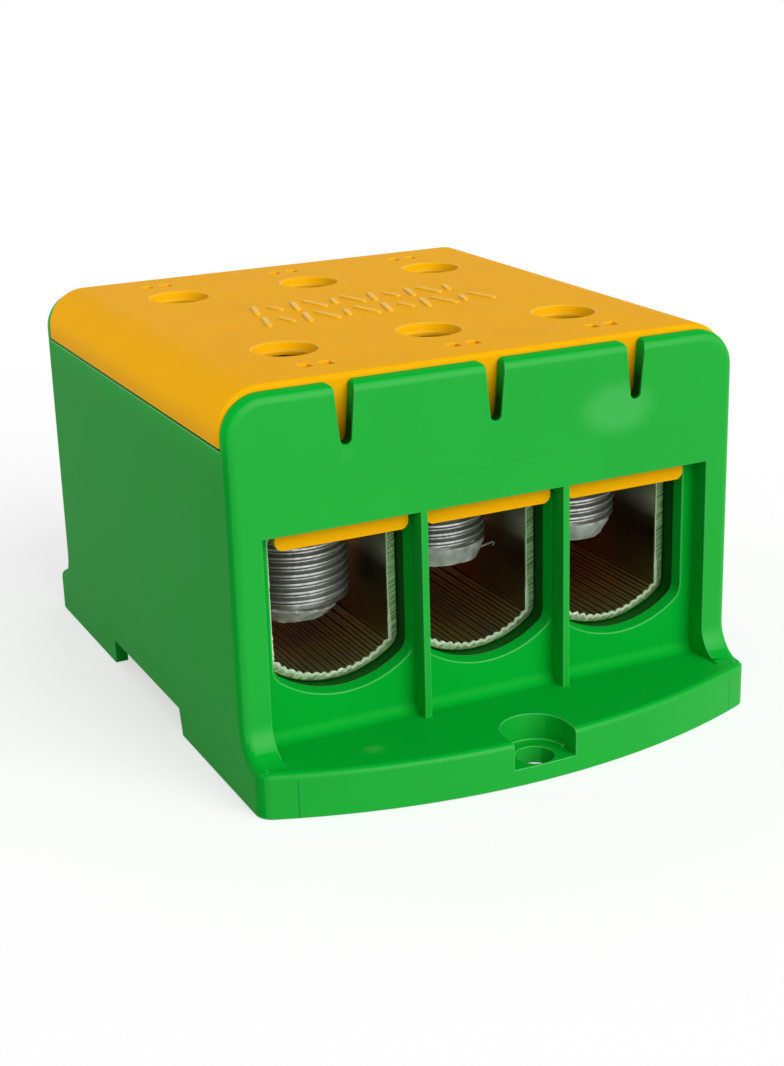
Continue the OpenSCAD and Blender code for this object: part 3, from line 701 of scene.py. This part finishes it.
def screw_mesh(low, high, radius, sizes):
    """Set screw about the Z axis: helical thread with flat crests, its flanks in a second material, a cone
    tip and a hexagon socket."""
    bm = bmesh.new()
    around = 64
    chamfer = 0.9 * MM

    # One turn of the thread, row by row: how far along the pitch and how much of the depth
    outline = ((0.0, 0.0), (0.22, 0.0), (0.54, 1.0), (0.66, 1.0))
    steps = len(outline)
    turns_below, turns_spare = 2, 3
    turns = math.ceil((high - low) / sizes.pitch) + turns_spare
    rows = []
    for i in range(turns * steps):
        share, drop = outline[i % steps]
        row = []
        for j in range(around):
            z = low + sizes.pitch * (i // steps - turns_below + share + j / around)
            z = min(max(z, low), high)
            cone = sizes.tip + (z - low) * (radius - sizes.tip) / sizes.cone
            r = min(radius - drop * sizes.depth, cone, radius - chamfer + high - z)
            a = 2 * math.pi * j / around
            row.append(bm.verts.new((r * math.cos(a), r * math.sin(a), z)))
        rows.append(row)
    # Faces of crest and root rows take the first material, the bright zinc; those of flank rows take the
    # second, in painted shade
    for i in range(len(rows) - steps - 1):
        for j in range(around):
            ahead = (i + steps, 0) if j == around - 1 else (i, j + 1)
            loop = [rows[i][j], rows[ahead[0]][ahead[1]], rows[ahead[0] + 1][ahead[1]], rows[i + 1][j]]
            heights = [v.co.z for v in loop]
            if max(heights) > low and min(heights) < high:
                bm.faces.new(loop).material_index = i % 2

    # Tip with a small turning centre, and socket with a round lead-in and a drilled bottom
    tip = sizes.tip
    half = sizes.socket / 2
    centre_depth, lead_in, drilled = 0.5 * MM, 0.6 * MM, 1.2 * MM
    bottom = high - sizes.socket_depth
    below = ((tip, low), (0.5 * tip, low), (0.1 * tip, low + centre_depth))
    skin(bm, [ring(bm, around, round_at(r, z)) for r, z in below])
    skin(bm, [
        ring(bm, around, round_at(radius - chamfer, high)),
        ring(bm, around, round_at(1.22 * half, high)),
        ring(bm, around, hexagon_at(half, high - lead_in)),
        ring(bm, around, hexagon_at(half, bottom)),
        ring(bm, around, round_at(0.3 * half, bottom - drilled)),
    ])

    same = 0.001 * MM
    bmesh.ops.remove_doubles(bm, verts=bm.verts, dist=same)
    bmesh.ops.dissolve_degenerate(bm, edges=bm.edges, dist=same)
    bmesh.ops.holes_fill(bm, edges=[e for e in bm.edges if e.is_boundary], sides=0)
    loose = [v for v in bm.verts if not v.link_faces]
    bmesh.ops.delete(bm, geom=loose, context="VERTS")
    bmesh.ops.recalc_face_normals(bm, faces=bm.faces)
    return bm


def ripple(seed, *at):
    """Smooth irregular number from about -1 to 1."""
    return noise.noise(Vector(at) + SEED_STEP * (seed + 1))


def grease_mesh(low, radius, sizes, seed, amount):
    """Grease on a screw's tip: it fills the cone, most at the left and front, where it climbs into the thread
    and hangs below the tip."""
    bm = bmesh.new()
    around, rows = 96, 7
    slow_waves, slow_level = 1.4, 0.3
    quick_waves, quick_step, quick_seed = 5, 0.5, 40
    sunk_top = -0.3 * MM
    rim_hang = 0.6
    shares_below = (0.82, 0.5, 0.2)
    pole_above, pole_below = 3 * MM, 0.15 * MM

    def at_row(row):
        """Places along a row, by their angle: the first rows lie on the cone and the last under the tip."""
        def at(a):
            x, y = math.cos(a), math.sin(a)
            slow = ripple(seed, slow_waves * x, slow_waves * y, slow_level)
            quick = ripple(seed + quick_seed, quick_waves * x, quick_waves * y, quick_step * row)
            much = amount + GREASE_LEAN * math.cos(a - GREASE_SIDE) + GREASE_UNEVEN * slow
            much = min(1.0, max(GREASE_LEAST, much))
            climb, hang, fill, film = (
                least + more * much + rough * quick
                for least, more, rough in (GREASE_CLIMB, GREASE_HANG, GREASE_FILL, GREASE_FILM)
            )
            fill = min(1.0, fill)
            if row < rows:
                down = row / (rows - 1)
                up = MM * climb * (1 - down) - rim_hang * MM * hang * down
                cone = min(radius, sizes.tip + max(0.0, up) * (radius - sizes.tip) / sizes.cone)
                r = cone + fill * (radius - cone) + (MM * film if row else sunk_top)
            else:
                up = -MM * hang
                r = shares_below[row - rows] * (sizes.tip + fill * (radius - sizes.tip))
            return (r * x, r * y, low + up)

        return at

    rings = [ring(bm, around, at_row(row)) for row in range(rows + len(shares_below))]
    rings.append([bm.verts.new((0, 0, low - pole_below))])
    rings.insert(0, [bm.verts.new((0, 0, low + pole_above))])
    skin(bm, rings)
    bmesh.ops.recalc_face_normals(bm, faces=bm.faces)
    return bm


def curl_mesh(points, thickness):
    """Thin, slightly flat curl along a row of points, tapering to both ends."""
    bm = bmesh.new()
    around, flatness = 8, 0.6
    thin, swell, tip_gap = 0.55, 0.45, 0.4
    rings = []
    last = len(points) - 1
    for i, p in enumerate(points):
        along = (points[min(i + 1, last)] - points[max(i - 1, 0)]).normalized()
        side = along.cross(ALONG_TUBES).normalized()
        over = along.cross(side)
        r = thickness / 2 * (thin + swell * math.sin(math.pi * (i + tip_gap) / (last + 2 * tip_gap)))
        wide, high = r * side, r * flatness * over
        rings.append(ring(bm, around, lambda a: p + math.cos(a) * wide + math.sin(a) * high))
    skin(bm, rings)
    bm.faces.new(rings[0][::-1])
    bm.faces.new(rings[-1])
    bmesh.ops.recalc_face_normals(bm, faces=bm.faces)
    return bm


def end_loops(bm, y):
    """Closed chains of a tube's edges in one end plane, the shorter chain last."""
    same = 0.01 * MM
    edges = dict.fromkeys(
        e for e in bm.edges
        if all(abs(v.co.y - y) < same for v in e.verts) and any(abs(f.normal.y) < 0.5 for f in e.link_faces)
    )
    loops = []
    while edges:
        edge = edges.popitem()[0]
        chain = [edge.verts[0], edge.verts[1]]
        while True:
            ahead = [e for e in chain[-1].link_edges if e in edges]
            if not ahead:
                break
            del edges[ahead[0]]
            chain.append(ahead[0].other_vert(chain[-1]))
        loops.append(chain[:-1])
    return sorted(loops, key=lambda chain: -max(v.co.z for v in chain))


def burr_mesh(node, sizes):
    """Ragged lip that the saw has left round the inner edge at both ends of a tube, thinner along the
    walls."""
    source = solid_of(node)
    low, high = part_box(node)
    bm = bmesh.new()
    spacing = 0.3 * MM
    wall_above, wall_fade, wall_share = 4 * MM, 3 * MM, 0.3
    # Tears of the lip: waves in each metre, and the lip's mean and least height
    long_tear, short_tear = 700, 2300
    mean, least = 0.5, 0.12
    for end, y in ((-1, low.y), (1, high.y)):
        chain = [v.co.copy() for v in end_loops(source, y)[-1]]
        points = []
        for a, b in zip(chain, chain[1:] + chain[:1]):
            count = max(1, round((b - a).length / spacing))
            points += [a.lerp(b, i / count) for i in range(count)]
        middle = sum(points, Vector()) / len(points)
        rows = []
        for i, p in enumerate(points):
            ahead, behind = points[(i + 1) % len(points)], points[i - 1]
            side = (ahead - behind).normalized().cross(ALONG_TUBES)
            if side.dot(middle - p) < 0:
                side = -side
            out = end * ALONG_TUBES
            torn = mean + 1.1 * ripple(3, long_tear * p.x, end, 0)
            torn += 0.8 * ripple(8, short_tear * p.x, end, short_tear * p.z)
            low_down = min(1.0, max(wall_share, (middle.z - wall_above - p.z) / wall_fade))
            torn = sizes.burr * low_down * max(least, torn)
            wide = low_down * MM
            # Across the lip: foot on the sawn end, outer and inner crest, foot in the bore, root in the wall
            across = (
                (-0.5 * wide, 0.01 * MM),
                (-0.15 * wide, 0.6 * torn),
                (0.7 * torn, 0.5 * torn),
                (0.02 * MM, -0.35 * wide),
                (-0.35 * wide, -0.35 * wide),
            )
            rows.append([bm.verts.new(p + inward * side + outward * out) for inward, outward in across])
        skin(bm, rows + rows[:1])
    source.free()
    bmesh.ops.recalc_face_normals(bm, faces=bm.faces)
    return bm


def tube_mesh(node, sizes):
    """Clamp tube with the outer edges of its sawn ends rounded, and an attribute that is 1 on the walls and
    on the crests of the floor's ridges and 0 in the valleys."""
    bm = solid_of(node)
    low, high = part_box(node)
    steps = 4
    edges = []
    for y in (low.y, high.y):
        chain = end_loops(bm, y)[0]
        edges += [bm.edges.get((a, b)) for a, b in zip(chain, chain[1:] + chain[:1])]
    ease(bm, [e for e in edges if e], sizes.tube_edge, steps)
    crest = bm.verts.layers.float.new("crest")
    middle = Vector(((low.x + high.x) / 2, low.z + sizes.bed_floor + sizes.bed))
    for v in bm.verts:
        above = sizes.bed - (Vector((v.co.x, v.co.z)) - middle).length
        v[crest] = min(1.0, max(0.0, above / sizes.ridge))
    return bm


def bar_mesh(top, sizes):
    """Two rows of raised bars, long and short, with round ends and sloping sides, where the lid carries its
    relief."""
    bm = bmesh.new()
    around = 24
    lean_by = math.radians(14)
    short = 0.62
    # Rows by their place and count, and a bar's outline by its share of the width and of the height
    rows = ((0.5, 11), (-0.5, 12))
    outline = ((0.5, -0.3), (0.5, 0.45), (0.42, 0.85), (0.3, 1.0))
    for row, count in rows:
        for column in range(count):
            across = (column - (count - 1) / 2) * sizes.bar_pitch
            centre = Vector((across, row * sizes.row_pitch, top))
            lean = Matrix.Rotation(lean_by if column % 2 else -lean_by, 4, "Z")
            straight = (sizes.bar * (short if column % 3 == 1 else 1) - sizes.bar_width) / 2
            rings = []
            for share, height in outline:
                r = share * sizes.bar_width

                def at(a):
                    y = math.copysign(straight, math.sin(a)) + r * math.sin(a)
                    return centre + lean @ Vector((r * math.cos(a), y, height * sizes.bar_height))

                rings.append(ring(bm, around, at))
            skin(bm, rings)
            bm.faces.new(rings[0][::-1])
            bm.faces.new(rings[-1])
    bmesh.ops.recalc_face_normals(bm, faces=bm.faces)
    return bm


class TERMINAL_OT_stage(bpy.types.Operator):
    """Adds the pale floor, the soft light and the camera"""

    bl_idname = "terminal_block.stage"
    bl_label = "Stage"

    def execute(self, context):
        stage = context.scene.terminal_stage
        scene = context.scene
        scene.view_settings.view_transform = "Standard"
        self.add_camera(scene, stage)
        self.add_key(scene, stage)
        self.add_strip(scene, stage)
        self.add_sky(scene, stage)
        self.add_floor(scene, stage)
        return {"FINISHED"}

    def add_camera(self, scene, stage):
        """Camera at the viewing angle of the picture."""
        camera = bpy.data.objects.new("camera", bpy.data.cameras.new("camera"))
        a, e = stage.azimuth, stage.elevation
        back = Vector((math.sin(a) * math.cos(e), -math.cos(a) * math.cos(e), math.sin(e)))
        camera.location = stage.place
        camera.rotation_mode = "QUATERNION"
        camera.rotation_quaternion = (-back).to_track_quat("-Z", "Y") @ Quaternion(UP, stage.roll)
        camera.data.lens = stage.lens
        camera.data.sensor_width = SENSOR_WIDTH
        camera.data.clip_start = NEAREST_SEEN
        scene.collection.objects.link(camera)
        scene.camera = camera

    def add_key(self, scene, stage):
        """Wide, soft key light."""
        key = Vector((stage.key[0], -stage.key[1], stage.key[2]))
        sun = bpy.data.objects.new("key_light", bpy.data.lights.new("key_light", "SUN"))
        sun.data.energy = math.pi * key.length
        sun.data.angle = stage.softness
        sun.rotation_mode = "QUATERNION"
        sun.rotation_quaternion = (-key).to_track_quat("-Z", "Y")
        scene.collection.objects.link(sun)

    def add_strip(self, scene, stage):
        """Weak strip light that reaches the lid's left side alone."""
        strip = bpy.data.objects.new("strip_light", bpy.data.lights.new("strip_light", "AREA"))
        strip.data.shape = "RECTANGLE"
        strip.data.size, strip.data.size_y = STRIP_SIZE
        strip.data.spread = STRIP_BEAM
        strip.data.energy = stage.strip
        strip.location = STRIP_PLACE
        strip.rotation_euler = (math.radians(90), 0, math.radians(-90))
        strip.visible_camera = False
        strip.visible_glossy = False
        scene.collection.objects.link(strip)

    def add_sky(self, scene, stage):
        """Even light from all round, that is seen as plain white."""
        world = bpy.data.worlds.new("studio")
        world.use_nodes = True
        tree = world.node_tree
        tree.nodes.clear()
        light = add(tree, "Background", {"Color": WHITE, "Strength": stage.sky})
        white = add(tree, "Background", {"Color": WHITE, "Strength": 1.0})
        mixed = add(tree, "MixShader", {0: self.seen(tree), 1: light.outputs[0], 2: white.outputs[0]})
        add(tree, "OutputWorld", {"Surface": mixed.outputs[0]})
        scene.world = world

    def add_floor(self, scene, stage):
        """Round floor just under the block."""
        bm = bmesh.new()
        around = 96
        rings = [ring(bm, around, round_at(r, -FLOOR_DROP)) for r in FLOOR_RINGS]
        skin(bm, rings)
        bm.faces.new(rings[-1])
        mesh = bpy.data.meshes.new("floor")
        bm.to_mesh(mesh)
        bm.free()
        floor = bpy.data.objects.new("floor", mesh)
        scene.collection.objects.link(floor)
        floor.data.materials.append(self.floor_paper(stage))

    def seen(self, tree):
        """1 where the camera sees a surface straight, in a reflection or through glass."""
        path = add(tree, "LightPath")
        seen = path.outputs["Is Camera Ray"]
        for kind in ("Is Glossy Ray", "Is Transmission Ray"):
            seen = add(tree, "Math", {0: seen, 1: path.outputs[kind]}, operation="MAXIMUM").outputs[0]
        return seen

    def floor_paper(self, stage):
        """White paper sweep: plain white that keeps the block's soft shadow."""
        material, tree = new_material("White paper, matt")
        glow = 1.0 - FLOOR_SHADE * (stage.sky + stage.key[2])
        plain = add(tree, "BsdfDiffuse", {"Color": rgba((stage.bounce,) * 3)})
        shadow = add(tree, "BsdfDiffuse", {"Color": rgba((FLOOR_SHADE,) * 3)})
        white = add(tree, "Emission", {"Color": WHITE, "Strength": glow})
        both = add(tree, "AddShader", {0: shadow.outputs[0], 1: white.outputs[0]})
        mixed = add(tree, "MixShader", {0: self.seen(tree), 1: plain.outputs[0], 2: both.outputs[0]})
        add(tree, "OutputMaterial", {"Surface": mixed.outputs[0]})
        return material


class TERMINAL_OT_housing(bpy.types.Operator):
    """Gives the housing its eased edges and moulded green"""

    bl_idname = "terminal_block.housing"
    bl_label = "Housing"

    def execute(self, context):
        sizes, finish = context.scene.terminal_sizes, context.scene.terminal_finish
        satin = green_polyamide("Green polyamide, injection moulded", finish, SATIN_GLOSS)
        # The edge material's paler green is a painted highlight
        edge = moulded_edge_highlight("Green polyamide, moulded edge", finish.housing_edge_highlight, EDGE_GLOSS)
        smooth = green_polyamide("Green polyamide, smoother end face", finish, END_GLOSS)
        materials = (satin, edge, smooth)
        bm = solid_of("housing")
        for face in bm.faces:
            if abs(face.normal.y) > END_FACING and abs(face.calc_center_median().y) > END_REACH:
                face.material_index = materials.index(smooth)
        ease_moulding(bm, sizes.edge)
        piece = place_piece("moulded_housing", bm, "block", "green_polyamide", *materials)
        flatten(piece)
        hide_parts("housing")
        return {"FINISHED"}


class TERMINAL_OT_lid(bpy.types.Operator):
    """Gives the lid its eased edges, moulded yellow and raised bars"""

    bl_idname = "terminal_block.lid"
    bl_label = "Lid"

    def execute(self, context):
        sizes, finish = context.scene.terminal_sizes, context.scene.terminal_finish
        yellow = yellow_polyamide(finish)
        # The edge material's paler yellow is a painted highlight
        edge = moulded_edge_highlight("Yellow polyamide, moulded edge", finish.lid_edge_highlight, LID_EDGE_GLOSS)
        bm = solid_of("lid")
        ease_moulding(bm, sizes.edge)
        piece = place_piece("moulded_lid", bm, "block", "yellow_polyamide", yellow, edge)
        flatten(piece)
        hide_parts("lid")
        # The raised bars take the edge material, whose paler yellow is a painted highlight
        place_piece("lid_bars", bar_mesh(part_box("lid")[1].z, sizes), "block", "yellow_polyamide", edge)
        return {"FINISHED"}


class TERMINAL_OT_tubes(bpy.types.Operator):
    """Gives the clamp tubes their sawn ends and burrs"""

    bl_idname = "terminal_block.tubes"
    bl_label = "Clamp tubes"

    def execute(self, context):
        sizes, finish = context.scene.terminal_sizes, context.scene.terminal_finish
        metal, torn = extruded_aluminium(finish), torn_aluminium(finish)
        for node in TUBES:
            piece = place_piece(node + "_sawn", tube_mesh(node, sizes), "block", "aluminium_tube", metal)
            flatten(piece)
            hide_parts(node)
            place_piece(node + "_burr", burr_mesh(node, sizes), "block", "aluminium_tube", torn)
        return {"FINISHED"}


class TERMINAL_OT_screws(bpy.types.Operator):
    """Makes the six threaded clamp screws and the grease on their tips"""

    bl_idname = "terminal_block.screws"
    bl_label = "Clamp screws"

    def execute(self, context):
        sizes, finish = context.scene.terminal_sizes, context.scene.terminal_finish
        # Bright and shaded copies of the zinc: the flank material is painted shade
        crest = zinc_plate("Steel, zinc plated", finish.zinc)
        flank = zinc_plate("Steel, zinc plated, shaded thread", finish.thread)
        grease = contact_grease(finish)
        for seed, node in enumerate(SCREWS):
            low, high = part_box(node)
            radius = (high.x - low.x) / 2
            middle = (low + high) / 2
            axis = Matrix.Translation((middle.x, middle.y, 0))
            bm = screw_mesh(low.z, high.z, radius, sizes)
            bmesh.ops.transform(bm, matrix=axis, verts=bm.verts)
            name = node.replace("screw", "threaded_screw")
            piece = place_piece(name, bm, node, "plated_steel", crest, flank)
            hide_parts(node)
            bm = grease_mesh(low.z, radius, sizes, seed, GREASE_SHARE[seed % len(GREASE_SHARE)])
            bmesh.ops.transform(bm, matrix=axis, verts=bm.verts)
            place_piece(node.replace("screw", "tip_grease"), bm, node, "plated_steel", grease)
        low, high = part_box(CURL_SCREW)
        middle = (low + high) / 2
        tip = Vector((middle.x, middle.y, low.z))
        bm = curl_mesh([tip + MM * Vector(p) for p in CURL_POINTS], sizes.curl)
        place_piece(CURL_SCREW.replace("screw", "grease_curl"), bm, CURL_SCREW, "plated_steel", grease)
        return {"FINISHED"}


class TERMINAL_OT_rail_latch(bpy.types.Operator):
    """Gives the rail latch its material and puts a rolled-steel copy of its spring on no body"""

    bl_idname = "terminal_block.rail_latch"
    bl_label = "Rail latch"

    def execute(self, context):
        finish = context.scene.terminal_finish
        dress(NODES["rail_latch"], latch_polyamide(finish))
        strip = rolled_strip(finish)
        piece = place_piece("bent_latch_spring", solid_of("latch_spring"), None, "spring_steel", strip)
        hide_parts("latch_spring")
        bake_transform(piece)
        return {"FINISHED"}


OPERATORS = (
    TERMINAL_OT_stage, TERMINAL_OT_housing, TERMINAL_OT_lid, TERMINAL_OT_tubes, TERMINAL_OT_screws,
    TERMINAL_OT_rail_latch,
)


class VIEW3D_PT_terminal_block(bpy.types.Panel):
    """Lists the block's pieces"""

    bl_label = "Terminal block"
    bl_space_type = "VIEW_3D"
    bl_region_type = "UI"
    bl_category = "Terminal block"

    def draw(self, context):
        for operator in OPERATORS:
            self.layout.operator(operator.bl_idname)


GROUPS = {
    "terminal_finish": TerminalFinish,
    "terminal_sizes": TerminalSizes,
    "terminal_stage": TerminalStage,
}
CLASSES = (*GROUPS.values(), *OPERATORS, VIEW3D_PT_terminal_block)


def register():
    """Registers the classes and puts the settings on the scene."""
    for cls in CLASSES:
        bpy.utils.register_class(cls)
    for name, group in GROUPS.items():
        setattr(bpy.types.Scene, name, bpy.props.PointerProperty(type=group))


def unregister():
    """Takes the settings off the scene and the classes out again."""
    for name in GROUPS:
        delattr(bpy.types.Scene, name)
    for cls in reversed(CLASSES):
        bpy.utils.unregister_class(cls)


def main():
    """Makes the stage and dresses the block, piece by piece."""
    register()
    bpy.ops.terminal_block.stage()
    bpy.ops.terminal_block.housing()
    bpy.ops.terminal_block.lid()
    bpy.ops.terminal_block.tubes()
    bpy.ops.terminal_block.screws()
    bpy.ops.terminal_block.rail_latch()


if __name__ == "__main__":
    main()
